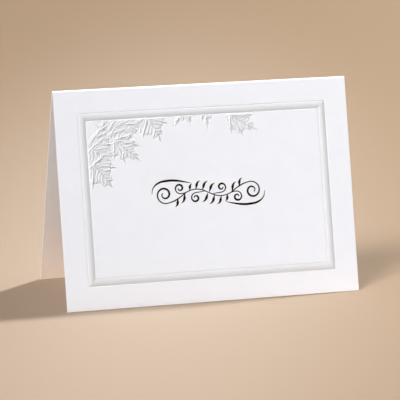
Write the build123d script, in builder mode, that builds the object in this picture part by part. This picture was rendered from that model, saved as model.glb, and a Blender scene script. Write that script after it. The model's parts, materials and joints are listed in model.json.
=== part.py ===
from build123d import *
from collections import namedtuple
from math import atan2, cos, degrees, hypot, pi, radians, sin
import os

# A note card: one sheet of stiff white card, folded along its top edge and stood up as a tent.
# The front panel looks along -Y. The fold runs along X above the origin, and the card stands on z = 0.
# A mitred picture frame and a spray of maple leaves are pressed up out of the front panel. The sheet
# keeps its thickness there, so the same forms are sunk into the inside of that panel.

# The sheet and its fold, in millimetres and degrees.
card_width = 123.8
panel_height = 88.9
sheet = 0.4
fold_radius = 0.3
opening_angle = 31.6

# The pressed frame: how far it lies in from the card's edges, and the section of one rail.
frame_margin = 9.35
rail_width = 3.5
rail_rise = 0.31
crease_width = 0.2
crease_depth = 0.12

# The pressed leaves. Each lobe has its turn from the long tip and its share of the leaf's reach.
leaf_edge = 0.12
leaf_crown = 0.25
leaf_clearance = 0.15
lobes = [(98, 0.56), (47, 0.77), (0, 1.00)]
tooth_turn = 14
tooth_share = 0.82
notch_turn = 5
notch_share = 0.76
sinus_share = 0.78
heel_turn = 150
heel_share = 0.14

# Each leaf: its heel, across and down from the window's top left corner, the way its long tip points
# in degrees below level, its reach, and how wide its lobes fan out.
Leaf = namedtuple("Leaf", "across down turn reach fan")
leaves = [
    Leaf(20.6, -2.8, 34, 8.4, 0.60),
    Leaf(15.0, 1.8, 4, 9.6, 0.70),
    Leaf(5.6, 3.4, 8, 10.2, 0.62),
    Leaf(3.0, 7.0, 4, 9.8, 0.60),
    Leaf(9.2, 4.2, 3, 12.4, 0.62),
    Leaf(0.6, 9.8, 6, 10.6, 0.62),
    Leaf(9.6, 5.8, 10, 9.6, 0.60),
    Leaf(2.2, 10.4, 22, 11.0, 0.60),
    Leaf(1.4, 10.8, 46, 11.6, 0.80),
    Leaf(25.4, -0.6, 63, 11.6, 0.92),
    Leaf(1.8, 17.6, 52.6, 12.2, 0.92),
    Leaf(11.2, 8.0, 41.5, 13.9, 0.55),
    Leaf(41.1, -4.2, 118, 9.2, 0.40),
    Leaf(41.8, -3.4, 78, 7.2, 0.62),
    Leaf(49.9, -5.2, 87, 11.2, 0.32),
    Leaf(60.3, 0.8, 29, 13.4, 0.62),
]

# The bare stem that crosses the corner of the window to the heel of one leaf.
stem_leaf = leaves[2]
stem_start = (2.6, 0.5)
stem_width = 0.4
stem_rise = 0.14

# How the panels lie, worked out from the fold. Each panel runs straight down from the fold's bend.
lean = radians(opening_angle / 2)
outer_radius = fold_radius + sheet
bend_length = (fold_radius + sheet / 2) * (pi / 2 - lean)
straight_height = panel_height - bend_length
fold_height = straight_height * cos(lean) - fold_radius * sin(lean)
outward = Vector(0, -cos(lean), sin(lean))
downward = Vector(0, -sin(lean), -cos(lean))
front_foot = Vector(0, 0, fold_height) + outer_radius * outward + straight_height * downward
front_face = Plane(front_foot - panel_height / 2 * downward, x_dir=(1, 0, 0), z_dir=outward)

# The frame's outer outline and the window inside it.
frame_width = card_width - 2 * frame_margin
frame_height = panel_height - 2 * frame_margin
window_width = frame_width - 2 * rail_width
window_height = frame_height - 2 * rail_width

# The stem's way from its foot to its leaf.
stem_run = stem_leaf.across - stem_start[0]
stem_fall = stem_leaf.down - stem_start[1]
stem_length = hypot(stem_run, stem_fall)
stem_turn = degrees(atan2(stem_fall, stem_run))


def window_plane(across, down, turn):
    """A plane on the front panel, placed from the window's top left corner and turned below level."""
    place = front_face.from_local_coords((across - window_width / 2, window_height / 2 - down, 0))
    level = cos(radians(turn)) * front_face.x_dir - sin(radians(turn)) * front_face.y_dir
    return Plane(place, x_dir=level, z_dir=outward)


def rail_surface(depth):
    """One face of a rail from edge to edge: the crowned bead, which springs from a crease on each side."""
    bead_start = (crease_width, depth - crease_depth)
    bead_end = (rail_width - crease_width, depth - crease_depth)
    Line((0, depth), bead_start)
    ThreePointArc(bead_start, (rail_width / 2, depth + rail_rise), bead_end)
    Line(bead_end, (rail_width, depth))


def leaf_outline(leaf):
    """The corners of a maple leaf about its heel, round one side to the long tip and back."""
    side = [(heel_turn, heel_share)]
    last_turn = None
    for turn, share in lobes:
        if last_turn:
            side.append((leaf.fan * (turn + last_turn) / 2, sinus_share * last_share))
        side.append((leaf.fan * (turn + tooth_turn), share * tooth_share))
        side.append((leaf.fan * (turn + notch_turn), share * notch_share))
        if turn:
            side.append((leaf.fan * turn, share))
            side.append((leaf.fan * (turn - notch_turn), share * notch_share))
            side.append((leaf.fan * (turn - tooth_turn), share * tooth_share))
        last_turn, last_share = turn, share
    other_side = [(-turn, share) for turn, share in reversed(side)]
    corners = [*side, (0, 1), *other_side]
    return [
        (leaf.reach * share * cos(radians(turn)), leaf.reach * share * sin(radians(turn)))
        for turn, share in corners
    ]


def leaf_relief(leaf):
    """One leaf: a blade with an upright edge, under a crown of facets that rise towards its heel."""
    blade_face = window_plane(leaf.across, leaf.down, leaf.turn).offset(leaf_edge)
    peak = Vertex(blade_face.origin + leaf_crown * outward)
    with BuildPart() as relief:
        with BuildSketch(blade_face) as blade:
            with BuildLine():
                Polyline(*leaf_outline(leaf), close=True)
            make_face()
        extrude(amount=-leaf_edge - sheet / 2)
        loft(sections=[blade.sketch.face(), peak], ruled=True)
    return relief.part


# The folded sheet is cut from one section: each panel's straight run, and the two arcs of the fold.
fold_axis = Vector(0, fold_height)
with BuildSketch(Plane.YZ) as sheet_section:
    with BuildLine():
        for side in (-1, 1):
            run = straight_height * Vector(side * sin(lean), -cos(lean))
            facing = Vector(side * cos(lean), sin(lean))
            inner_bend = fold_axis + fold_radius * facing
            outer_bend = fold_axis + outer_radius * facing
            Polyline(inner_bend, inner_bend + run, outer_bend + run, outer_bend)
        for radius in (fold_radius, outer_radius):
            CenterArc(fold_axis, radius, degrees(lean), 180 - 2 * degrees(lean))
    make_face()

# The rail's section stands on the lower side of the frame, half way along, and runs round its outline.
rail_start = front_face.from_local_coords((0, -frame_height / 2, 0))
with BuildSketch(Plane(rail_start, x_dir=front_face.y_dir, z_dir=front_face.x_dir)) as rail_section:
    with BuildLine():
        rail_surface(0)
        rail_surface(-sheet)
        Line((0, 0), (0, -sheet))
        Line((rail_width, 0), (rail_width, -sheet))
    make_face()

right, top = frame_width / 2, frame_height / 2
with BuildLine(front_face) as frame_path:
    Polyline((0, -top), (right, -top), (right, top), (-right, top), (-right, -top), (0, -top))

with BuildPart() as frame:
    sweep(rail_section.sketch, path=frame_path.line, transition=Transition.RIGHT)

with BuildSketch(front_face) as frame_ring:
    Rectangle(frame_width, frame_height)
    Rectangle(window_width, window_height, mode=Mode.SUBTRACT)

# The spray is cut off a hair inside the window, as if it passed behind the frame.
with BuildSketch(front_face) as window:
    Rectangle(window_width - 2 * leaf_clearance, window_height - 2 * leaf_clearance)

with BuildPart() as spray:
    for leaf in leaves:
        add(leaf_relief(leaf))
    with BuildSketch(window_plane(*stem_start, stem_turn).offset(stem_rise)):
        with Locations((stem_length / 2, 0)):
            Rectangle(stem_length, stem_width)
    extrude(amount=-stem_rise - sheet / 2)
    extrude(window.sketch, amount=leaf_edge + leaf_crown + sheet, both=True, mode=Mode.INTERSECT)

# The card: the sheet gives up a ring for the frame's rails, and the spray is pressed through the rest.
with BuildPart() as card:
    extrude(sheet_section.sketch, amount=card_width / 2, both=True)
    extrude(frame_ring.sketch, amount=sheet, both=True, mode=Mode.SUBTRACT)
    add(frame.part)
    add(spray.part)
    add(spray.part.moved(Location(-sheet * outward)), mode=Mode.SUBTRACT)
card.part.label = "card"

os.makedirs("parts", exist_ok=True)
export_step(card.part, "parts/card.step")
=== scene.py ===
import json
from collections import namedtuple
from math import asin, cos, pi, radians, sin

import bmesh
import bpy
import numpy as np
from bpy.props import FloatProperty, FloatVectorProperty, IntProperty, PointerProperty
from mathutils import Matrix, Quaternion, Vector


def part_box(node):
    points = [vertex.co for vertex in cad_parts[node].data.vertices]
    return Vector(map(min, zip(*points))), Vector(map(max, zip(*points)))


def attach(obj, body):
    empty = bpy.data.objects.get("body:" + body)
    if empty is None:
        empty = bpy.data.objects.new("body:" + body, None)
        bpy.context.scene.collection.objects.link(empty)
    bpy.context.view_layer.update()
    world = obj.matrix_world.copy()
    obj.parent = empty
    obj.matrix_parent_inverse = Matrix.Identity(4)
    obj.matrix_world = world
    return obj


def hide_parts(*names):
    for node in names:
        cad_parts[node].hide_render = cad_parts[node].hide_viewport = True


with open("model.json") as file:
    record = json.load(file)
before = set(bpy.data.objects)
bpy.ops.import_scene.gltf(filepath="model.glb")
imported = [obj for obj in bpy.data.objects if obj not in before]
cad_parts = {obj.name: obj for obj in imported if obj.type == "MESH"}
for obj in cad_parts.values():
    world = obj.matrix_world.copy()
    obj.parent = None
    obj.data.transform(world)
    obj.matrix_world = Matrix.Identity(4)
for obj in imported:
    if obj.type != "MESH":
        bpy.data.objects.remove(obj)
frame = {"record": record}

bl_info = {
    "name": "Folded Note Card",
    "version": (1, 0, 0),
    "blender": (4, 5, 0),
    "location": "View3D > Sidebar > Note Card",
    "description": "A white note card, folded to a tent, with a pressed frame and leaves and a gilt flourish",
    "category": "Add Mesh",
}

MM = 0.001
TINY = 1e-6

# What the frame says: the card's box, and the middle and lean of its back panel.
card_low, card_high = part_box("card")
back_face = next(mount for mount in frame["record"]["mounts"] if mount["name"] == "back_panel_face")
panel_lean = asin(back_face["axis"][2])
front_middle = Vector(back_face["pos_m"]) * Vector((1, -1, 1))

# A flat strip on both sides of the frame's rails, which keeps their shading off the panel.
FLAT_STRIP = 0.08 * MM

# The window is cut finest over the leaves and as far beside them as this.
FINE_MARGIN = 0.6 * MM

# Shading is smooth across edges that turn less than this, in degrees.
SMOOTH_TURN = 40

# The maple leaf: each lobe's turn from the long tip in degrees, and its share of the leaf's reach.
LOBES = [(98, 0.56), (47, 0.77), (0, 1.00)]
TOOTH_TURN, TOOTH_SHARE = 14, 0.82
NOTCH_TURN, NOTCH_SHARE = 5, 0.76
SINUS_SHARE = 0.78
HEEL_TURN, HEEL_SHARE = 150, 0.14

# The leaf's relief, beside the sizes in NoteCardLeaves: the width of the slope up to a blade, the share
# of it that lies outside the outline, and the share of the edge's height at which it starts. The crown is
# full this far in. Near the heel the pleats and side veins fade in over a share of the leaf's reach. A
# main vein keeps a share of its size at its tip.
SLOPE_WIDTH, SLOPE_OUTSIDE, SLOPE_START = 0.34 * MM, 0.35, 0.3
CROWN_WIDTH = 1.6 * MM
HEEL_FADE = 0.12
VEIN_TIP = 0.5

# The side veins bend towards the leaf's tip. Uneven patches shift them along, and others swell them about
# a mean. Each kind of patch has its size, and a seed that moves it.
SIDE_VEIN_BEND = 0.5
SHIFT_SIZE, SHIFT_SEED = 1.4 * MM, 1
SWELL_SIZE, SWELL_SEED = 1.7 * MM, 31
SWELL_MEAN, SWELL_SPREAD = 0.8, 0.55
SEED_STEP = (17.3, -9.1)

# The wave that makes a lattice uneven: its steps from column to column and from row to row, and its
# height, of which only the fraction counts.
LATTICE_COLUMN, LATTICE_ROW, LATTICE_WAVE = 127.1, 311.7, 43758.5453

# How far past its tips a leaf's relief is worked out, and the leaves' share of the pearl tint.
LEAF_SURROUND = 1 * MM
LEAF_PEARL = 0.85

Leaf = namedtuple("Leaf", "across down turn reach fan level veining")


def leaf_in_mm(across, down, turn, reach, fan, level, veining):
    """A leaf whose places and sizes are given in millimetres."""
    return Leaf(across * MM, down * MM, turn, reach * MM, fan, level * MM, veining)


# Each leaf: its heel, across and down from the window's top left corner, the way its long tip points in
# degrees below level, its reach, how wide its lobes fan out, how high it lies over the leaves before it,
# and how strongly its veins stand out.
LEAVES = [
    leaf_in_mm(20.6, -2.8, 34, 8.4, 0.60, 0.00, 0.7),
    leaf_in_mm(15.0, 1.8, 4, 9.6, 0.70, 0.01, 0.6),
    leaf_in_mm(5.6, 3.4, 8, 10.2, 0.62, 0.00, 0.7),
    leaf_in_mm(3.0, 7.0, 4, 9.8, 0.60, 0.02, 0.7),
    leaf_in_mm(9.2, 4.2, 3, 12.4, 0.62, 0.03, 0.6),
    leaf_in_mm(0.6, 9.8, 6, 10.6, 0.62, 0.03, 0.7),
    leaf_in_mm(9.6, 5.8, 10, 9.6, 0.60, 0.04, 0.7),
    leaf_in_mm(2.2, 10.4, 22, 11.0, 0.60, 0.04, 0.7),
    leaf_in_mm(1.4, 10.8, 46, 11.6, 0.80, 0.05, 0.7),
    leaf_in_mm(25.4, -0.6, 63, 11.6, 0.92, 0.05, 1.0),
    leaf_in_mm(1.8, 17.6, 52.6, 12.2, 0.92, 0.07, 1.0),
    leaf_in_mm(11.2, 8.0, 41.5, 13.9, 0.55, 0.09, 1.0),
    leaf_in_mm(41.1, -4.2, 118, 9.2, 0.40, 0.01, 0.8),
    leaf_in_mm(41.8, -3.4, 78, 7.2, 0.62, 0.02, 0.8),
    leaf_in_mm(49.9, -5.2, 87, 11.2, 0.32, 0.01, 0.8),
    leaf_in_mm(60.3, 0.8, 29, 13.4, 0.62, 0.02, 0.9),
]

# The bare stem that crosses the corner of the window to the heel of one leaf.
STEM_LEAF = LEAVES[2]
STEM_START, STEM_END = (2.6 * MM, 0.5 * MM), (STEM_LEAF.across, STEM_LEAF.down)
STEM_HALF_WIDTH, STEM_RISE = 0.3 * MM, 0.30 * MM

# The left half of the gilt flourish, in millimetres from its middle, rightwards and up, with the share of
# a full stroke at each place. The right half is the same, turned half round.
VINE = [
    (0, 0, 0.5),
    (-3, 1.3, 0.55),
    (-6, 1.6, 0.5),
    (-9, 0.8, 0.55),
    (-11.6, -0.9, 0.6),
    (-14.2, -2.4, 0.7),
]
UPPER_BRANCH = [(-7.4, 1.4, 0.3), (-9.8, 0.5, 0.45)]
LOWER_BRANCH = [(-1.4, 0.7, 0.3), (-3.6, 0.4, 0.45)]
LONG_STROKE = [
    (-23.9, 0.6, 0.25),
    (-23.2, 3.1, 0.55),
    (-20.9, 5.0, 0.95),
    (-17.4, 5.7, 1.2),
    (-13.4, 5.6, 1.1),
    (-9.8, 4.9, 0.65),
    (-7.0, 4.2, 0.2),
]

# The curls that the vine and its branches end in: middle, first and last distance from it, where they
# start in degrees, and how many turns they wind, clockwise or, below zero, the other way. All of them
# draw in fastest at first, and have a least share of a full stroke that swells half way round.
Curl = namedtuple("Curl", "right up reach last_reach start rounds")
END_CURL = Curl(-18.6, 0.2, 3.9, 0.9, -60, 1.45)
UPPER_CURL = Curl(-12.1, 2.4, 2.2, 0.6, -90, 1.25)
LOWER_CURL = Curl(-5.6, -1.9, 2.1, 0.6, 90, -1.25)
CURL_DRAW = 0.8
CURL_WEIGHT, CURL_SWELL = 0.55, 0.5

# The flourish's loose strokes: foot, the way they point in degrees, and length. The share of a full
# stroke along each of them is listed once, and all of them bow out by the same turn.
Blade = namedtuple("Blade", "right up turn length")
BLADES = [
    Blade(-13.0, -1.7, 246, 3.7),
    Blade(-9.9, 0.2, 243, 4.4),
    Blade(-8.0, 1.3, 66, 2.9),
    Blade(-5.4, 1.7, 58, 3.9),
    Blade(-2.6, 1.2, 54, 4.3),
    Blade(0.2, 0.2, 52, 4.4),
]
BLADE_WEIGHTS = [(0, 0.2), (0.2, 0.8), (0.45, 1.4), (0.7, 1.0), (0.88, 0.5), (1, 0.15)]
BLADE_BOW = 14

# Corners of the joined strokes that are nearer together than this become one.
MERGE_DISTANCE = 0.001 * MM

# The sweep under and behind the card: its side, how far its middle lies in front of the card, the height
# of its wall, and the bend between floor and wall.
SWEEP_SIDE, SWEEP_FORWARD = 6, 1.6
SWEEP_HEIGHT, SWEEP_BEND = 3, 0.9

# Where the light that the floor throws back changes colour, from front to back: under the card's front
# panel, and under its back panel.
FRONT_CHANGE = (-0.04, -0.01)
BACK_CHANGE = (0.02, 0.04)

# The two lamps hang round the middle of the card: the way to each, how far off and how large it is, the
# point it is aimed at, and its spread in degrees.
CARD_MIDDLE = (0, 0, 0.04)
Lamp = namedtuple("Lamp", "name direction distance size aim spread")
SHADOW_LAMP = Lamp("shadow lamp", (0.630, 0.244, 0.737), 3.0, 0.18, CARD_MIDDLE, 180)
WINDOW_LAMP = Lamp("window lamp", (-0.49, -0.357, 0.797), 2.2, 0.9, (0.42, 0, 0.20), 50)

# The nearest and the furthest that the camera sees.
VIEW_START, VIEW_END = 0.05, 20


class NoteCardSheet(bpy.types.PropertyGroup):
    """The folded sheet and the rails of its pressed frame."""

    card_width: FloatProperty(
        name="Card width", description="Length of the fold", default=card_high.x - card_low.x, unit="LENGTH"
    )
    panel_height: FloatProperty(
        name="Panel height", description="From the fold to the foot", default=88.9 * MM, unit="LENGTH"
    )
    thickness: FloatProperty(
        name="Thickness", description="Thickness of the card", default=0.4 * MM, unit="LENGTH"
    )
    fold_radius: FloatProperty(
        name="Fold radius", description="Inside of the fold", default=0.3 * MM, unit="LENGTH"
    )
    lean: FloatProperty(
        name="Lean", description="How far each panel leans in", default=panel_lean, subtype="ANGLE"
    )
    frame_margin: FloatProperty(
        name="Margin", description="From the card's edge to the frame", default=9.35 * MM, unit="LENGTH"
    )
    rail_width: FloatProperty(
        name="Rail width", description="Width of one rail", default=3.5 * MM, unit="LENGTH"
    )
    rail_rise: FloatProperty(
        name="Rail rise", description="Height of a rail's bead", default=0.31 * MM, unit="LENGTH"
    )
    crease_width: FloatProperty(
        name="Crease width", description="Width of the crease along a rail", default=0.20 * MM, unit="LENGTH"
    )
    crease_depth: FloatProperty(
        name="Crease depth", description="Depth of the crease along a rail", default=0.12 * MM, unit="LENGTH"
    )
    edge_bevel: FloatProperty(
        name="Edge bevel", description="Softness of the cut edges", default=0.05 * MM, unit="LENGTH"
    )


class NoteCardLeaves(bpy.types.PropertyGroup):
    """The leaves' relief, and how finely it is pressed."""

    edge_rise: FloatProperty(
        name="Edge rise", description="Height of a blade at its edge", default=0.14 * MM, unit="LENGTH"
    )
    wall: FloatProperty(
        name="Wall", description="Width of the step at a blade's edge", default=0.22 * MM, unit="LENGTH"
    )
    crown: FloatProperty(
        name="Crown", description="Height of a blade's middle over its edge", default=0.06 * MM, unit="LENGTH"
    )
    pleat: FloatProperty(
        name="Pleat", description="Depth of the valley between lobes", default=0.09 * MM, unit="LENGTH"
    )
    vein_rise: FloatProperty(
        name="Vein rise", description="Height of a main vein", default=0.36 * MM, unit="LENGTH"
    )
    vein_width: FloatProperty(
        name="Vein width", description="Half width of a main vein", default=0.28 * MM, unit="LENGTH"
    )
    side_vein_rise: FloatProperty(
        name="Side vein rise", description="Height of a side vein", default=0.26 * MM, unit="LENGTH"
    )
    side_vein_width: FloatProperty(
        name="Side vein width", description="Half width of a side vein", default=0.30 * MM, unit="LENGTH"
    )
    side_vein_pitch: FloatProperty(
        name="Side vein pitch", description="Distance between side veins", default=1.25 * MM, unit="LENGTH"
    )
    side_vein_turn: FloatProperty(
        name="Side vein turn", description="Turn from the main vein", default=radians(45), subtype="ANGLE"
    )
    crumple: FloatProperty(
        name="Crumple",
        description="How unevenly the side veins run, as a share of their pitch",
        default=0.32,
        subtype="FACTOR",
        min=0,
        max=1,
    )
    groove_depth: FloatProperty(
        name="Groove depth", description="Depth of the line round a blade", default=0.07 * MM, unit="LENGTH"
    )
    groove_width: FloatProperty(
        name="Groove width", description="Width of the line round a blade", default=0.24 * MM, unit="LENGTH"
    )
    clearance: FloatProperty(
        name="Clearance", description="Leaves stop short of the frame", default=0.15 * MM, unit="LENGTH"
    )
    outer_rounds: IntProperty(name="Outer rounds", description="Times the outside is cut finer", default=8)
    inner_rounds: IntProperty(name="Inner rounds", description="Times the inside is cut finer", default=7)


class NoteCardPaper(bpy.types.PropertyGroup):
    """Colours of the paper and of the pearl tint on what is pressed up, and the paper's felt grain."""

    paper: FloatVectorProperty(
        name="Paper", description="Bare card", default=(0.875, 0.885, 0.935), subtype="COLOR", min=0, max=1
    )
    shade: FloatVectorProperty(
        name="Shade", description="Felt mottling", default=(0.85, 0.86, 0.91), subtype="COLOR", min=0, max=1
    )
    pearl: FloatVectorProperty(
        name="Pearl",
        description="Pressed parts",
        default=(0.737, 0.740, 0.765),
        subtype="COLOR",
        min=0,
        max=1,
    )
    felt_size: FloatProperty(
        name="Felt size", description="Size of the felt's tufts", default=0.55 * MM, unit="LENGTH"
    )
    felt_depth: FloatProperty(
        name="Felt depth", description="Depth of the felt's grain", default=0.012 * MM, unit="LENGTH"
    )


class NoteCardFoil(bpy.types.PropertyGroup):
    """The gilt flourish."""

    dark: FloatVectorProperty(
        name="Dark", description="Foil's face", default=(0.012, 0.008, 0.004), subtype="COLOR", min=0, max=1
    )
    # Painted glint: this gold is laid on where a stroke falls away steeply, along its rim.
    glint_gold: FloatVectorProperty(
        name="Gold", description="Foil's rim", default=(0.50, 0.32, 0.10), subtype="COLOR", min=0, max=1
    )
    felt_size: FloatProperty(
        name="Felt size", description="Size of the tufts under the foil", default=0.5 * MM, unit="LENGTH"
    )
    felt_depth: FloatProperty(
        name="Felt depth", description="Depth of the grain under the foil", default=0.01 * MM, unit="LENGTH"
    )
    thick: FloatProperty(
        name="Thick stroke", description="Width of a full stroke", default=0.83 * MM, unit="LENGTH"
    )
    crown: FloatProperty(
        name="Crown",
        description="Height of a stroke as a share of its half width",
        default=0.12,
        subtype="FACTOR",
        min=0,
        max=1,
    )
    across: FloatProperty(
        name="Across", description="Right of the panel's middle", default=0.2 * MM, unit="LENGTH"
    )
    up: FloatProperty(name="Up", description="Above the panel's middle", default=0, unit="LENGTH")


class NoteCardStage(bpy.types.PropertyGroup):
    """Floor, light and camera."""

    # The sweep's seen colour is a painted pool of light: this colour by the card, fading to the next one
    # further off.
    floor: FloatVectorProperty(
        name="Floor",
        description="Sweep by the card",
        default=(0.358, 0.274, 0.203),
        subtype="COLOR",
        min=0,
        max=1,
    )
    floor_outside_painted_light: FloatVectorProperty(
        name="Far floor",
        description="Sweep far off",
        default=(0.251, 0.171, 0.105),
        subtype="COLOR",
        min=0,
        max=1,
    )
    bounce: FloatVectorProperty(
        name="Bounce",
        description="Floor as the front sees it",
        default=(0.375, 0.35, 0.325),
        subtype="COLOR",
        min=0,
        max=1,
    )
    bounce_behind: FloatVectorProperty(
        name="Bounce behind",
        description="Floor as the inside sees it",
        default=(0.82, 0.57, 0.355),
        subtype="COLOR",
        min=0,
        max=1,
    )
    pool_middle: FloatVectorProperty(
        name="Pool middle",
        description="Where the sweep is lightest",
        default=(-0.014, 0.047, 0),
        subtype="TRANSLATION",
        unit="LENGTH",
    )
    pool_reach: FloatVectorProperty(
        name="Pool reach",
        description="How far off it is darkest, across and along",
        default=(0.168, 0.666, 1),
        subtype="XYZ",
        unit="LENGTH",
    )
    pool_turn: FloatProperty(
        name="Pool turn", description="Turn of the light pool", default=radians(-18), subtype="ANGLE"
    )
    shadow_power: FloatProperty(
        name="Shadow power", description="Power of the shadow lamp", default=147.0, unit="POWER"
    )
    shadow_colour: FloatVectorProperty(
        name="Shadow lamp",
        description="Light's colour",
        default=(0.87, 0.93, 1.0),
        subtype="COLOR",
        min=0,
        max=1,
    )
    window_power: FloatProperty(
        name="Window power", description="Power of the window lamp", default=7.3, unit="POWER"
    )
    window_colour: FloatVectorProperty(
        name="Window lamp",
        description="Light's colour",
        default=(0.976, 0.981, 1.0),
        subtype="COLOR",
        min=0,
        max=1,
    )
    room_colour: FloatVectorProperty(
        name="Room", description="Light's colour", default=(1.0, 0.92, 0.82), subtype="COLOR", min=0, max=1
    )
    room_strength: FloatProperty(
        name="Room strength", description="Strength of the room's light", default=0.22, min=0
    )
    azimuth: FloatProperty(
        name="Azimuth", description="Camera's, off the front", default=radians(-16.19), subtype="ANGLE"
    )
    elevation: FloatProperty(
        name="Elevation", description="Camera's, over the floor", default=radians(14.663), subtype="ANGLE"
    )
    roll: FloatProperty(name="Roll", description="Camera's tilt", default=radians(0.467), subtype="ANGLE")
    distance: FloatProperty(
        name="Distance", description="From the camera to the card", default=1042.47 * MM, unit="LENGTH"
    )
    target: FloatVectorProperty(
        name="Target",
        description="Middle of the picture",
        default=(0.2285 * MM, 0, 36.4545 * MM),
        subtype="TRANSLATION",
        unit="LENGTH",
    )
    lens: FloatProperty(name="Lens", description="On a sensor 36 mm wide", default=227.26, unit="CAMERA")


def deselect_all():
    """Nothing selected, in object mode."""
    if bpy.context.mode != "OBJECT":
        bpy.ops.object.mode_set(mode="OBJECT")
    bpy.ops.object.select_all(action="DESELECT")


def select_faces(piece, chosen):
    """Selects just the faces for which chosen, given all face middles as an array, says so."""
    bpy.ops.mesh.select_mode(type="FACE")
    bpy.ops.mesh.select_all(action="DESELECT")
    mesh = bmesh.from_edit_mesh(piece.data)
    wanted = chosen(np.array([face.calc_center_median() for face in mesh.faces]))
    if not wanted.any():
        raise RuntimeError("The mesh has no face where the next step needs one")
    for face, is_wanted in zip(mesh.faces, wanted):
        if is_wanted:
            face.select_set(True)
    bmesh.update_edit_mesh(piece.data)


def select_edges(piece, chosen):
    """Selects just the edges for which chosen, given both ends, says so."""
    bpy.ops.mesh.select_mode(type="EDGE")
    bpy.ops.mesh.select_all(action="DESELECT")
    mesh = bmesh.from_edit_mesh(piece.data)
    wanted = [edge for edge in mesh.edges if chosen(edge.verts[0].co, edge.verts[1].co)]
    if not wanted:
        raise RuntimeError("The mesh has no edge where the next step needs one")
    for edge in wanted:
        edge.select_set(True)
    bmesh.update_edit_mesh(piece.data)


def stand_up(piece, sheet):
    """Turns what lies flat on the front panel up to its lean and sets it in its place in the frame."""
    bpy.ops.object.mode_set(mode="EDIT")
    bpy.ops.mesh.select_all(action="SELECT")
    bpy.ops.transform.rotate(value=sheet.lean - pi / 2, orient_axis="X", center_override=(0, 0, 0))
    bpy.ops.transform.translate(value=front_middle)
    bpy.ops.object.mode_set(mode="OBJECT")


def add_node(tree, kind, inputs, **settings):
    """A node with those settings, and inputs that are plain values or other nodes' outputs."""
    node = tree.nodes.new(kind)
    for name, value in settings.items():
        setattr(node, name, value)
    for name, value in inputs.items():
        if isinstance(value, bpy.types.NodeSocket):
            tree.links.new(value, node.inputs[name])
        else:
            node.inputs[name].default_value = value
    return node


def new_material(name, plain_settings):
    """A material with one shader, which has those plain settings, and its node tree."""
    material = bpy.data.materials.new(name)
    material.use_nodes = True
    tree = material.node_tree
    tree.nodes.clear()
    shader = add_node(tree, "ShaderNodeBsdfPrincipled", plain_settings)
    add_node(tree, "ShaderNodeOutputMaterial", {"Surface": shader.outputs["BSDF"]})
    return material, tree, shader


def felt_group():
    """Felt grain in Object coordinates: its tufts' height, and tufts and clouds mixed as a mottling mask."""
    if "felt grain" in bpy.data.node_groups:
        return bpy.data.node_groups["felt grain"]
    group = bpy.data.node_groups.new("felt grain", "ShaderNodeTree")
    group.interface.new_socket("Tuft size", in_out="INPUT", socket_type="NodeSocketFloat")
    group.interface.new_socket("Mottling", in_out="OUTPUT", socket_type="NodeSocketFloat")
    group.interface.new_socket("Height", in_out="OUTPUT", socket_type="NodeSocketFloat")
    entry = group.nodes.new("NodeGroupInput")
    place = group.nodes.new("ShaderNodeTexCoord").outputs["Object"]
    scale = add_node(group, "ShaderNodeMath", {0: 1.0, 1: entry.outputs["Tuft size"]}, operation="DIVIDE")
    tufts = add_node(
        group,
        "ShaderNodeTexNoise",
        {"Vector": place, "Scale": scale.outputs["Value"], "Detail": 4.0, "Roughness": 0.6},
    )
    clouds = add_node(group, "ShaderNodeTexNoise", {"Vector": place, "Scale": 140.0, "Detail": 3.0})
    half_clouds = add_node(group, "ShaderNodeMath", {0: clouds.outputs["Fac"], 1: 0.5}, operation="MULTIPLY")
    mottling = add_node(
        group,
        "ShaderNodeMath",
        {0: tufts.outputs["Fac"], 1: 0.5, 2: half_clouds.outputs["Value"]},
        operation="MULTIPLY_ADD",
    )
    results = {"Mottling": mottling.outputs["Value"], "Height": tufts.outputs["Fac"]}
    add_node(group, "NodeGroupOutput", results)
    return group


def add_felt(tree, shader, size, depth):
    """Gives a shader felt grain as a bump, and returns the grain's mottling."""
    felt = add_node(tree, "ShaderNodeGroup", {"Tuft size": size}, node_tree=felt_group())
    bump_inputs = {"Strength": 0.5, "Distance": depth, "Height": felt.outputs["Height"]}
    bump = add_node(tree, "ShaderNodeBump", bump_inputs)
    tree.links.new(bump.outputs["Normal"], shader.inputs["Normal"])
    return felt.outputs["Mottling"]


def smooth_step(share):
    """Eases from 0 to 1."""
    share = np.clip(share, 0, 1)
    return share * share * (3 - 2 * share)


def lattice(column, row):
    """A fixed uneven number from -1 to 1 for each corner of a lattice."""
    wave = np.sin(column * LATTICE_COLUMN + row * LATTICE_ROW) * LATTICE_WAVE
    return 2 * (wave - np.floor(wave)) - 1


def unevenness(across, down, size, seed):
    """Gentle hills of about that size, from -1 to 1."""
    across, down = across / size + SEED_STEP[0] * seed, down / size + SEED_STEP[1] * seed
    column, row = np.floor(across), np.floor(down)
    right, below = smooth_step(across - column), smooth_step(down - row)
    upper = lattice(column, row) * (1 - right) + lattice(column + 1, row) * right
    lower = lattice(column, row + 1) * (1 - right) + lattice(column + 1, row + 1) * right
    return upper * (1 - below) + lower * below


def leaf_outline(leaf):
    """The corners of a maple leaf about its heel, round one side to the long tip and back."""
    side = [(HEEL_TURN, HEEL_SHARE)]
    last_turn = None
    for turn, share in LOBES:
        if last_turn:
            side.append((leaf.fan * (turn + last_turn) / 2, SINUS_SHARE * last_share))
        side.append((leaf.fan * (turn + TOOTH_TURN), share * TOOTH_SHARE))
        side.append((leaf.fan * (turn + NOTCH_TURN), share * NOTCH_SHARE))
        if turn:
            side.append((leaf.fan * turn, share))
            side.append((leaf.fan * (turn - NOTCH_TURN), share * NOTCH_SHARE))
            side.append((leaf.fan * (turn - TOOTH_TURN), share * TOOTH_SHARE))
        last_turn, last_share = turn, share
    other_side = [(-turn, share) for turn, share in reversed(side)]
    return [
        (leaf.reach * share * cos(radians(turn)), leaf.reach * share * sin(radians(turn)))
        for turn, share in [*side, (0, 1), *other_side]
    ]


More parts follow.
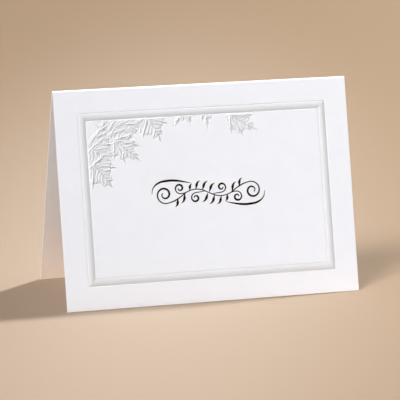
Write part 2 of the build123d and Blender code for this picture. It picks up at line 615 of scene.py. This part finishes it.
def along_leaf(leaf, across, down):
    """Places in the window, measured from a leaf's heel along and beside its long tip."""
    turn = radians(leaf.turn)
    right, below = across - leaf.across, down - leaf.down
    return right * cos(turn) + below * sin(turn), right * sin(turn) - below * cos(turn)


def distance_to_line(start, end, across, down):
    """How far each place lies from a straight line between two points."""
    (x, y), (end_x, end_y) = start, end
    run, fall = end_x - x, end_y - y
    share = np.clip(((across - x) * run + (down - y) * fall) / (run * run + fall * fall), 0, 1)
    return np.hypot(across - x - share * run, down - y - share * fall)


def depth_inside(corners, along, beside):
    """How far each place lies inside an outline, or below zero how far outside."""
    nearest = np.full(along.shape, np.inf)
    inside = np.zeros(along.shape, bool)
    for corner, next_corner in zip(corners, [*corners[1:], corners[0]]):
        nearest = np.minimum(nearest, distance_to_line(corner, next_corner, along, beside))
        (x, y), (next_x, next_y) = corner, next_corner
        if next_y != y:
            crossing = (next_x - x) * (beside - y) / (next_y - y) + x
            inside ^= ((y > beside) != (next_y > beside)) & (along < crossing)
    return np.where(inside, nearest, -nearest)


def leaf_depth(leaf, across, down):
    """How far each place in the window lies inside a leaf, or below zero how far outside."""
    return depth_inside(leaf_outline(leaf), *along_leaf(leaf, across, down))


def spray_depth(across, down):
    """How far each place lies inside the nearest leaf, or below zero outside it and the stem's line."""
    from_stem = distance_to_line(STEM_START, STEM_END, across, down)
    return np.max([-from_stem, *(leaf_depth(leaf, across, down) for leaf in LEAVES)], axis=0)


def side_vein_height(spray, along, beside, reach, across, down, number):
    """Height of the side veins on both sides of a main vein, uneven in their places and their height."""
    bend = 1 - SIDE_VEIN_BEND * np.abs(beside) / reach
    count = along * sin(spray.side_vein_turn) - np.abs(beside) * bend * cos(spray.side_vein_turn)
    shift = spray.crumple * unevenness(across, down, SHIFT_SIZE, number + SHIFT_SEED)
    count = count / spray.side_vein_pitch + shift
    from_middle = (count - np.floor(count) - 0.5) * spray.side_vein_pitch
    swell = SWELL_MEAN + SWELL_SPREAD * unevenness(across, down, SWELL_SIZE, number + SWELL_SEED)
    return spray.side_vein_rise * np.exp(-((from_middle / spray.side_vein_width) ** 2)) * swell


def blade_height(spray, leaf, number, across, down, depth):
    """Height of one leaf's blade: its crown, the pleats between its lobes, and its main and side veins."""
    along, beside = along_leaf(leaf, across, down)
    from_heel = np.hypot(along, beside)
    turn = np.degrees(np.arctan2(beside, along))
    lobe_turns = np.array([leaf.fan * way * lobe for lobe, _ in LOBES for way in (1, -1)])
    lobe_shares = np.array([share for _, share in LOBES for _ in (1, -1)])
    off_lobe = np.abs(turn[:, None] - lobe_turns)
    nearest = np.argmin(off_lobe, axis=1)
    off_lobe = np.min(off_lobe, axis=1)
    lobe_gap = leaf.fan * (LOBES[1][0] - LOBES[2][0]) / 2
    body = smooth_step(from_heel / (HEEL_FADE * leaf.reach))
    pleat = -spray.pleat * np.clip(off_lobe / lobe_gap, 0, 1) * body
    from_vein = np.radians(turn - lobe_turns[nearest])
    along_vein, beside_vein = from_heel * np.cos(from_vein), from_heel * np.sin(from_vein)
    to_tip = np.clip(1 - along_vein / (lobe_shares[nearest] * leaf.reach), 0, 1)
    taper = VEIN_TIP + (1 - VEIN_TIP) * to_tip
    vein = spray.vein_rise * taper * np.exp(-((beside_vein / (spray.vein_width * taper)) ** 2))
    outermost = np.abs(lobe_turns[nearest]) > leaf.fan * (LOBES[0][0] - 1)
    axis_places = np.where(outermost, (along_vein, beside_vein), (along, beside))
    side_veins = body * side_vein_height(spray, *axis_places, leaf.reach, across, down, number)
    return spray.crown * smooth_step(depth / CROWN_WIDTH) + pleat + leaf.veining * (vein + side_veins)


def spray_relief(spray, across, down):
    """Height of the pressed leaves at places in the window, and how much of each place they cover."""
    cover = smooth_step(1 - distance_to_line(STEM_START, STEM_END, across, down) / STEM_HALF_WIDTH)
    height = STEM_RISE * cover
    for number, leaf in enumerate(LEAVES):
        from_heel = np.hypot(across - leaf.across, down - leaf.down)
        near = np.flatnonzero(from_heel < leaf.reach + LEAF_SURROUND)
        x, y = across[near], down[near]
        depth = leaf_depth(leaf, x, y)
        over = smooth_step(depth / spray.wall + 0.5)
        from_groove = depth + (spray.wall + spray.groove_width) / 2
        groove = -spray.groove_depth * np.exp(-((from_groove / spray.groove_width) ** 2))
        slope = smooth_step(depth / SLOPE_WIDTH + SLOPE_OUTSIDE)
        edge = spray.edge_rise * (SLOPE_START + (1 - SLOPE_START) * slope)
        blade = leaf.level + edge + slope * blade_height(spray, leaf, number, x, y, depth)
        height[near] = (height[near] + groove * (1 - over)) * (1 - over) + blade * over
        cover[near] = np.maximum(cover[near], over)
    return height, cover


def rail_section(sheet, bead_steps=20):
    """A rail from edge to edge: how far in each of its lines lies, and how high."""
    half = sheet.rail_width / 2 - sheet.crease_width
    bead = sheet.rail_rise + sheet.crease_depth
    radius = (half * half + bead * bead) / (2 * bead)
    side = asin(half / radius)
    section = [(0, 0)]
    for step in range(bead_steps + 1):
        turn = side * (2 * step / bead_steps - 1)
        rise = radius * cos(turn) - radius + sheet.rail_rise
        section.append((sheet.rail_width / 2 + radius * sin(turn), rise))
    return [*section, (sheet.rail_width, 0)]


def window_size(sheet):
    """Width and height of the window inside the frame."""
    rim = 2 * (sheet.frame_margin + sheet.rail_width)
    return sheet.card_width - rim, sheet.panel_height - rim


def fold_axis(sheet):
    """The fold's axis beside the flat panel: how far up it lies from the panel's middle, and how high."""
    bend_length = (sheet.fold_radius + sheet.thickness / 2) * (pi / 2 - sheet.lean)
    return sheet.panel_height / 2 - bend_length, -sheet.fold_radius - sheet.thickness


def add_pressed_face(sheet, spray, rounds):
    """One face of the front panel, lying flat: margin, rails, and a window cut finer near the leaves."""
    deselect_all()
    bpy.ops.mesh.primitive_plane_add(size=1)
    face = bpy.context.object
    bpy.ops.object.mode_set(mode="EDIT")
    bpy.ops.mesh.select_mode(type="FACE")
    bpy.ops.mesh.select_all(action="SELECT")
    bpy.ops.transform.resize(value=(sheet.card_width, sheet.panel_height, 1))
    bpy.ops.mesh.inset(thickness=sheet.frame_margin - FLAT_STRIP, depth=0)
    lines = [(-FLAT_STRIP, 0), *rail_section(sheet), (sheet.rail_width + FLAT_STRIP, 0)]
    for (run, rise), (next_run, next_rise) in zip(lines, lines[1:]):
        bpy.ops.mesh.inset(thickness=next_run - run, depth=next_rise - rise)
    cut_window(face, sheet, rounds)
    move_top_edge(face, sheet)
    bpy.ops.object.mode_set(mode="OBJECT")
    press_leaves(face, sheet, spray)
    return face


def cut_window(face, sheet, rounds, columns=3, rows=2):
    """Cuts the window into a few squares, and the ones near the leaves finer and finer."""
    width, height = (size - 2 * FLAT_STRIP for size in window_size(sheet))

    def in_window(middles):
        return (np.abs(middles[:, 0]) < width / 2) & (np.abs(middles[:, 1]) < height / 2)

    def near_leaves(middles, square):
        across, down = middles[:, 0] + width / 2, height / 2 - middles[:, 1]
        return in_window(middles) & (spray_depth(across, down) > -FINE_MARGIN - square)

    for column in range(1, columns):
        select_faces(face, in_window)
        bpy.ops.mesh.bisect(plane_co=(width * (column / columns - 0.5), 0, 0), plane_no=(1, 0, 0))
    for row in range(1, rows):
        select_faces(face, in_window)
        bpy.ops.mesh.bisect(plane_co=(0, height * (row / rows - 0.5), 0), plane_no=(0, 1, 0))
    for number in range(rounds):
        square = width / columns / 2**number
        select_faces(face, lambda middles: near_leaves(middles, square))
        bpy.ops.mesh.subdivide(number_cuts=1)


def move_top_edge(face, sheet):
    """Brings the panel's top edge down to where the fold begins."""
    top = sheet.panel_height / 2
    fold_up, _ = fold_axis(sheet)
    select_edges(face, lambda start, end: min(start.y, end.y) > top - TINY)
    bpy.ops.transform.translate(value=(0, fold_up - top, 0))


def press_leaves(face, sheet, spray):
    """Moves the window's corners up to the leaves' relief, and marks what is pressed up as pearl."""
    mesh = face.data
    places = np.zeros(len(mesh.vertices) * 3)
    mesh.vertices.foreach_get("co", places)
    places = places.reshape(-1, 3)
    width, height = window_size(sheet)
    across, down = places[:, 0] + width / 2, height / 2 - places[:, 1]
    from_side = np.min([across, width - across, down, height - down], axis=0)
    inside = np.flatnonzero(from_side > 0)
    relief, cover = spray_relief(spray, across[inside], down[inside])
    kept = smooth_step((from_side[inside] - spray.clearance) / spray.wall)
    places[inside, 2] += relief * kept
    mesh.vertices.foreach_set("co", places.ravel())
    past_window = smooth_step(-from_side / sheet.crease_width)
    pearl = past_window * smooth_step((from_side + sheet.rail_width) / sheet.crease_width)
    pearl[inside] = LEAF_PEARL * cover * kept
    tint = mesh.attributes.new("pearl", "FLOAT", "POINT")
    tint.data.foreach_set("value", pearl.astype(np.float32))
    mesh.update()


def join_faces(outer, inner, sheet):
    """Lays the inner face under the outer one, turned over, and closes the cut edges between them."""
    deselect_all()
    inner.select_set(True)
    bpy.context.view_layer.objects.active = inner
    bpy.ops.object.mode_set(mode="EDIT")
    bpy.ops.mesh.select_all(action="SELECT")
    bpy.ops.mesh.flip_normals()
    bpy.ops.transform.translate(value=(0, 0, -sheet.thickness))
    bpy.ops.object.mode_set(mode="OBJECT")
    inner.data.attributes["pearl"].data.foreach_set("value", np.zeros(len(inner.data.vertices)))
    outer.select_set(True)
    bpy.context.view_layer.objects.active = outer
    bpy.ops.object.join()
    bpy.ops.object.mode_set(mode="EDIT")
    side, foot = sheet.card_width / 2 - TINY, -sheet.panel_height / 2 + TINY
    for at_cut in (
        lambda start, end: max(start.x, end.x) < -side,
        lambda start, end: min(start.x, end.x) > side,
        lambda start, end: max(start.y, end.y) < foot,
    ):
        select_edges(outer, at_cut)
        bpy.ops.mesh.edge_face_add()


def fold_over(card, sheet, steps=20):
    """Spins the open top edge round the fold and draws the back panel down from it."""
    fold_up, fold_level = fold_axis(sheet)
    turn = pi - 2 * sheet.lean
    select_edges(card, lambda start, end: min(start.y, end.y) > fold_up - TINY)
    bpy.ops.mesh.spin(steps=steps, angle=turn, center=(0, fold_up, fold_level), axis=(1, 0, 0))
    run = sheet.panel_height / 2 + fold_up
    down_back = Vector((0, cos(turn), -sin(turn))) * run
    bpy.ops.mesh.extrude_region_move(TRANSFORM_OT_translate={"value": down_back})
    bpy.ops.mesh.edge_face_add()
    bpy.ops.mesh.select_all(action="SELECT")
    bpy.ops.mesh.normals_make_consistent(inside=False)


def mark_mitres(card, sheet):
    """Keeps the frame's mitres crisp."""
    corner_x, corner_y = (size / 2 for size in window_size(sheet))
    rail = sheet.rail_width + TINY

    def at_mitre(place):
        out_x, out_y = abs(place.x) - corner_x, abs(place.y) - corner_y
        return -FLAT_STRIP - TINY < out_x < rail and abs(out_x - out_y) < TINY

    def along_mitre(start, end):
        return at_mitre(start) and at_mitre(end) and abs(start.x - end.x) < rail / 2

    select_edges(card, along_mitre)
    bpy.ops.mesh.mark_sharp()


def soften_cut_edges(card, sheet):
    """A small bevel along every cut edge, as a guillotine leaves it."""
    side = sheet.card_width / 2 - TINY
    fold_up, fold_level = fold_axis(sheet)
    run = sheet.panel_height / 2 + fold_up - TINY

    def at_cut(middles):
        from_fold = np.hypot(middles[:, 1] - fold_up, middles[:, 2] - fold_level)
        return (np.abs(middles[:, 0]) > side) | (from_fold > run)

    select_faces(card, at_cut)
    bpy.ops.mesh.region_to_loop()
    bpy.ops.mesh.bevel(offset=sheet.edge_bevel, segments=2, affect="EDGES")


def shade_card(card):
    """Smooth but for crisp edges, and weighed by face area, so that flat panels look flat to their edges."""
    bpy.ops.object.shade_smooth_by_angle(angle=radians(SMOOTH_TURN), keep_sharp_edges=True)
    card.modifiers.new("flat panels", "WEIGHTED_NORMAL").keep_sharp = True
    bpy.ops.object.modifier_apply(modifier="flat panels")


def paper_material(paper):
    """Uncoated white card with a felt grain, greyer and a little glossier where it is pearl."""
    material, tree, shader = new_material("pressed card stock", {"Specular IOR Level": 0.35})
    felt = add_felt(tree, shader, paper.felt_size, paper.felt_depth)
    mottling = add_node(tree, "ShaderNodeMapRange", {"Value": felt, "From Min": 0.35, "From Max": 0.65})
    bare = add_node(
        tree,
        "ShaderNodeMix",
        {"Factor": mottling.outputs["Result"], "A": (*paper.shade, 1), "B": (*paper.paper, 1)},
        data_type="RGBA",
    )
    pearl = add_node(tree, "ShaderNodeAttribute", {}, attribute_name="pearl").outputs["Fac"]
    tinted = add_node(
        tree,
        "ShaderNodeMix",
        {"Factor": pearl, "A": bare.outputs["Result"], "B": (*paper.pearl, 1)},
        data_type="RGBA",
    )
    tree.links.new(tinted.outputs["Result"], shader.inputs["Base Color"])
    roughness = add_node(tree, "ShaderNodeMapRange", {"Value": pearl, "To Min": 0.85, "To Max": 0.55})
    tree.links.new(roughness.outputs["Result"], shader.inputs["Roughness"])
    return material


class NOTE_CARD_OT_press_sheet(bpy.types.Operator):
    """Makes the folded sheet with its frame and leaves pressed into it"""

    bl_idname = "note_card.press_sheet"
    bl_label = "Press Sheet"

    def execute(self, context):
        sheet, spray = context.scene.note_card_sheet, context.scene.note_card_leaves
        inner = add_pressed_face(sheet, spray, spray.inner_rounds)
        card = add_pressed_face(sheet, spray, spray.outer_rounds)
        join_faces(card, inner, sheet)
        fold_over(card, sheet)
        mark_mitres(card, sheet)
        soften_cut_edges(card, sheet)
        stand_up(card, sheet)
        shade_card(card)
        card.name = card.data.name = "pressed_card"
        card.data.materials.append(paper_material(context.scene.note_card_paper))
        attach(card, "root")
        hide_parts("card")
        return {"FINISHED"}


def curl_points(curl, steps=22):
    """The places along a curl, heaviest half way round."""
    points = []
    for step in range(steps + 1):
        share = step / steps
        turn = radians(curl.start - 360 * curl.rounds * share)
        reach = curl.reach + (curl.last_reach - curl.reach) * share**CURL_DRAW
        weight = CURL_WEIGHT + CURL_SWELL * sin(pi * share) ** 2
        points.append((curl.right + reach * cos(turn), curl.up + reach * sin(turn), weight))
    return points


def blade_points(blade):
    """A pen stroke that swells before its middle and bows out as it rises."""
    points = []
    for share, weight in BLADE_WEIGHTS:
        turn = radians(blade.turn + BLADE_BOW * sin(pi * share))
        along = blade.length * share
        points.append((blade.right + along * cos(turn), blade.up + along * sin(turn), weight))
    return points


def half_round(stroke):
    """The same stroke, turned half round the flourish's middle."""
    return [(-right, -up, weight) for right, up, weight in stroke]


def flourish_strokes():
    """Every stroke of the flourish: the vine from end to end, and the others of both halves."""
    vine = [*VINE, *curl_points(END_CURL)]
    whole_vine = [*reversed(half_round(vine)), *vine[1:]]
    half = [
        [*UPPER_BRANCH, *curl_points(UPPER_CURL)],
        [*LOWER_BRANCH, *curl_points(LOWER_CURL)],
        LONG_STROKE,
        *(blade_points(blade) for blade in BLADES),
    ]
    return [whole_vine, *half, *(half_round(stroke) for stroke in half)]


def add_stroke(points, foil):
    """One stroke as a round wire of changing thickness, lying flat, made into a mesh."""
    deselect_all()
    bpy.ops.curve.primitive_bezier_curve_add()
    stroke = bpy.context.object
    stroke.data.bevel_depth = foil.thick / 2
    stroke.data.bevel_resolution = 3
    stroke.data.resolution_u = 6
    stroke.data.use_fill_caps = True
    line = stroke.data.splines[0]
    line.bezier_points.add(len(points) - len(line.bezier_points))
    for corner, (x, y, weight) in zip(line.bezier_points, points):
        corner.handle_left_type = corner.handle_right_type = "AUTO"
        corner.co = (x * MM, y * MM, 0)
        corner.radius = weight
    bpy.ops.object.convert(target="MESH")
    return bpy.context.object


def mark_painted_glint(flourish):
    """Keeps how steeply each stroke falls away, which is most along its rim, as the mask for the foil's
    painted gold glint.
    """
    steepness = [(1 - abs(corner.normal.z)) ** 2 for corner in flourish.data.vertices]
    flourish.data.attributes.new("rim", "FLOAT", "POINT").data.foreach_set("value", steepness)


def foil_material(foil):
    """Dark hot foil: near black where it lies flat, with a painted gold glint along its steep rim, and the
    card's grain under it.
    """
    material, tree, shader = new_material("dark gilt foil", {"Metallic": 1.0, "Roughness": 0.32})
    # Painted glint: the colour turns from the near-black face to gold where the stroke falls away steeply.
    rim = add_node(tree, "ShaderNodeAttribute", {}, attribute_name="rim")
    colour = add_node(
        tree,
        "ShaderNodeMix",
        {"Factor": rim.outputs["Fac"], "A": (*foil.dark, 1), "B": (*foil.glint_gold, 1)},
        data_type="RGBA",
    )
    tree.links.new(colour.outputs["Result"], shader.inputs["Base Color"])
    add_felt(tree, shader, foil.felt_size, foil.felt_depth)
    return material


class NOTE_CARD_OT_print_flourish(bpy.types.Operator):
    """Prints the gilt flourish in the middle of the front panel"""

    bl_idname = "note_card.print_flourish"
    bl_label = "Print Flourish"

    def execute(self, context):
        sheet, foil = context.scene.note_card_sheet, context.scene.note_card_foil
        strokes = [add_stroke(points, foil) for points in flourish_strokes()]
        deselect_all()
        for stroke in strokes:
            stroke.select_set(True)
        flourish = context.view_layer.objects.active = strokes[0]
        bpy.ops.object.join()
        mark_painted_glint(flourish)
        bpy.ops.object.mode_set(mode="EDIT")
        bpy.ops.mesh.select_all(action="SELECT")
        bpy.ops.mesh.remove_doubles(threshold=MERGE_DISTANCE)
        bpy.ops.mesh.normals_make_consistent(inside=False)
        bpy.ops.transform.resize(value=(1, 1, foil.crown), center_override=(0, 0, 0))
        bpy.ops.transform.translate(value=(foil.across, foil.up, 0))
        stand_up(flourish, sheet)
        bpy.ops.object.shade_smooth()
        flourish.name = flourish.data.name = "gilt_flourish"
        flourish.data.materials.append(foil_material(foil))
        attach(flourish, "root")
        return {"FINISHED"}


def floor_material(stage):
    """Matt sweep with a painted pool of light by the card, darker further off, that throws back other colours
    before and under it.
    """
    material, tree, shader = new_material("paper sweep", {"Roughness": 0.9, "Specular IOR Level": 0.2})
    place = tree.nodes.new("ShaderNodeTexCoord").outputs["Object"]
    # Painted pool of light: the seen colour darkens with distance from the pool's middle.
    pool = add_node(
        tree,
        "ShaderNodeMapping",
        {
            "Vector": place,
            "Location": stage.pool_middle,
            "Rotation": (0, 0, stage.pool_turn),
            "Scale": stage.pool_reach,
        },
        vector_type="TEXTURE",
    )
    away = add_node(tree, "ShaderNodeVectorMath", {0: pool.outputs["Vector"]}, operation="LENGTH")
    painted_falloff = add_node(
        tree, "ShaderNodeMapRange", {"Value": away.outputs["Value"]}, interpolation_type="SMOOTHSTEP"
    )
    seen = add_node(
        tree,
        "ShaderNodeMix",
        {"Factor": painted_falloff.outputs["Result"], "A": (*stage.floor, 1), "B": (*stage.floor_outside_painted_light, 1)},
        data_type="RGBA",
    ).outputs["Result"]
    backwards = add_node(tree, "ShaderNodeSeparateXYZ", {"Vector": place}).outputs["Y"]
    thrown = (*stage.bounce, 1)
    for (start, end), colour in ((FRONT_CHANGE, (*stage.bounce_behind, 1)), (BACK_CHANGE, seen)):
        past = add_node(
            tree, "ShaderNodeMapRange", {"Value": backwards, "From Min": start, "From Max": end}
        )
        thrown = add_node(
            tree,
            "ShaderNodeMix",
            {"Factor": past.outputs["Result"], "A": thrown, "B": colour},
            data_type="RGBA",
        ).outputs["Result"]
    path = tree.nodes.new("ShaderNodeLightPath")
    shown = add_node(
        tree,
        "ShaderNodeMix",
        {"Factor": path.outputs["Is Camera Ray"], "A": thrown, "B": seen},
        data_type="RGBA",
    )
    tree.links.new(shown.outputs["Result"], shader.inputs["Base Color"])
    return material


def add_sweep(stage):
    """A floor that curves up behind the card."""
    deselect_all()
    bpy.ops.mesh.primitive_plane_add(size=SWEEP_SIDE, location=(0, -SWEEP_FORWARD, 0))
    sweep = bpy.context.object
    bpy.ops.object.transform_apply(location=True, rotation=True, scale=True)
    bpy.ops.object.mode_set(mode="EDIT")
    back = SWEEP_SIDE / 2 - SWEEP_FORWARD - TINY
    select_edges(sweep, lambda start, end: min(start.y, end.y) > back)
    bpy.ops.mesh.extrude_region_move(TRANSFORM_OT_translate={"value": (0, 0, SWEEP_HEIGHT)})
    select_edges(sweep, lambda start, end: min(start.y, end.y) > back and max(start.z, end.z) < TINY)
    bpy.ops.mesh.bevel(offset=SWEEP_BEND, segments=16, affect="EDGES")
    bpy.ops.mesh.select_all(action="SELECT")
    bpy.ops.mesh.normals_make_consistent(inside=True)
    bpy.ops.object.mode_set(mode="OBJECT")
    bpy.ops.object.shade_smooth()
    sweep.name = "sweep"
    sweep.data.materials.append(floor_material(stage))


def add_lamp(lamp, watts, colour):
    """Hangs one square soft lamp."""
    deselect_all()
    place = Vector(lamp.direction).normalized() * lamp.distance + Vector(CARD_MIDDLE)
    bpy.ops.object.light_add(type="AREA", location=place)
    light = bpy.context.object
    light.name = lamp.name
    light.rotation_euler = (place - Vector(lamp.aim)).to_track_quat("Z", "Y").to_euler()
    light.data.spread = radians(lamp.spread)
    light.data.size = lamp.size
    light.data.energy = watts
    light.data.color = colour


def light_room(scene, stage):
    """Faint light from all round."""
    world = bpy.data.worlds.new("room")
    scene.world = world
    world.use_nodes = True
    background = world.node_tree.nodes["Background"]
    background.inputs["Color"].default_value = (*stage.room_colour, 1)
    background.inputs["Strength"].default_value = stage.room_strength


def add_camera(scene, stage):
    """The photograph's view."""
    deselect_all()
    back = Vector(
        (
            sin(stage.azimuth) * cos(stage.elevation),
            -cos(stage.azimuth) * cos(stage.elevation),
            sin(stage.elevation),
        )
    )
    bpy.ops.object.camera_add(location=Vector(stage.target) + back * stage.distance)
    camera = bpy.context.object
    camera.name = "camera"
    turn = (-back).to_track_quat("-Z", "Y") @ Quaternion((0, 0, 1), stage.roll)
    camera.rotation_euler = turn.to_euler()
    camera.data.lens = stage.lens
    camera.data.clip_start, camera.data.clip_end = VIEW_START, VIEW_END
    scene.camera = camera


class NOTE_CARD_OT_set_stage(bpy.types.Operator):
    """Lays the sweep, hangs the lamps and sets up the camera"""

    bl_idname = "note_card.set_stage"
    bl_label = "Set Stage"

    def execute(self, context):
        stage = context.scene.note_card_stage
        add_sweep(stage)
        add_lamp(SHADOW_LAMP, stage.shadow_power, stage.shadow_colour)
        add_lamp(WINDOW_LAMP, stage.window_power, stage.window_colour)
        light_room(context.scene, stage)
        add_camera(context.scene, stage)
        context.scene.view_settings.view_transform = "Standard"
        return {"FINISHED"}


# Each group of settings, by its name on the scene, with the step that the panel shows below it, if any.
SETTINGS = {
    "note_card_sheet": (NoteCardSheet, None),
    "note_card_leaves": (NoteCardLeaves, None),
    "note_card_paper": (NoteCardPaper, NOTE_CARD_OT_press_sheet),
    "note_card_foil": (NoteCardFoil, NOTE_CARD_OT_print_flourish),
    "note_card_stage": (NoteCardStage, NOTE_CARD_OT_set_stage),
}


class NOTE_CARD_PT_panel(bpy.types.Panel):
    """Lists the settings and the steps that make the card"""

    bl_idname = "NOTE_CARD_PT_panel"
    bl_label = "Note Card"
    bl_space_type = "VIEW_3D"
    bl_region_type = "UI"
    bl_category = "Note Card"

    def draw(self, context):
        for group, (kind, step) in SETTINGS.items():
            box = self.layout.box()
            for name in kind.__annotations__:
                box.prop(getattr(context.scene, group), name)
            if step:
                box.operator(step.bl_idname)


CLASSES = [
    *(kind for kind, _ in SETTINGS.values()),
    *(step for _, step in SETTINGS.values() if step),
    NOTE_CARD_PT_panel,
]


def register():
    """Adds the classes to Blender, and each group of settings to its scenes."""
    for kind in CLASSES:
        bpy.utils.register_class(kind)
    for name, (kind, _) in SETTINGS.items():
        setattr(bpy.types.Scene, name, PointerProperty(type=kind))


def unregister():
    """Takes away what register adds."""
    for name in SETTINGS:
        delattr(bpy.types.Scene, name)
    for kind in reversed(CLASSES):
        bpy.utils.unregister_class(kind)


def main():
    """Makes the card and its stage."""
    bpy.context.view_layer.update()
    register()
    bpy.ops.note_card.press_sheet()
    bpy.ops.note_card.print_flourish()
    bpy.ops.note_card.set_stage()


if __name__ == "__main__":
    main()
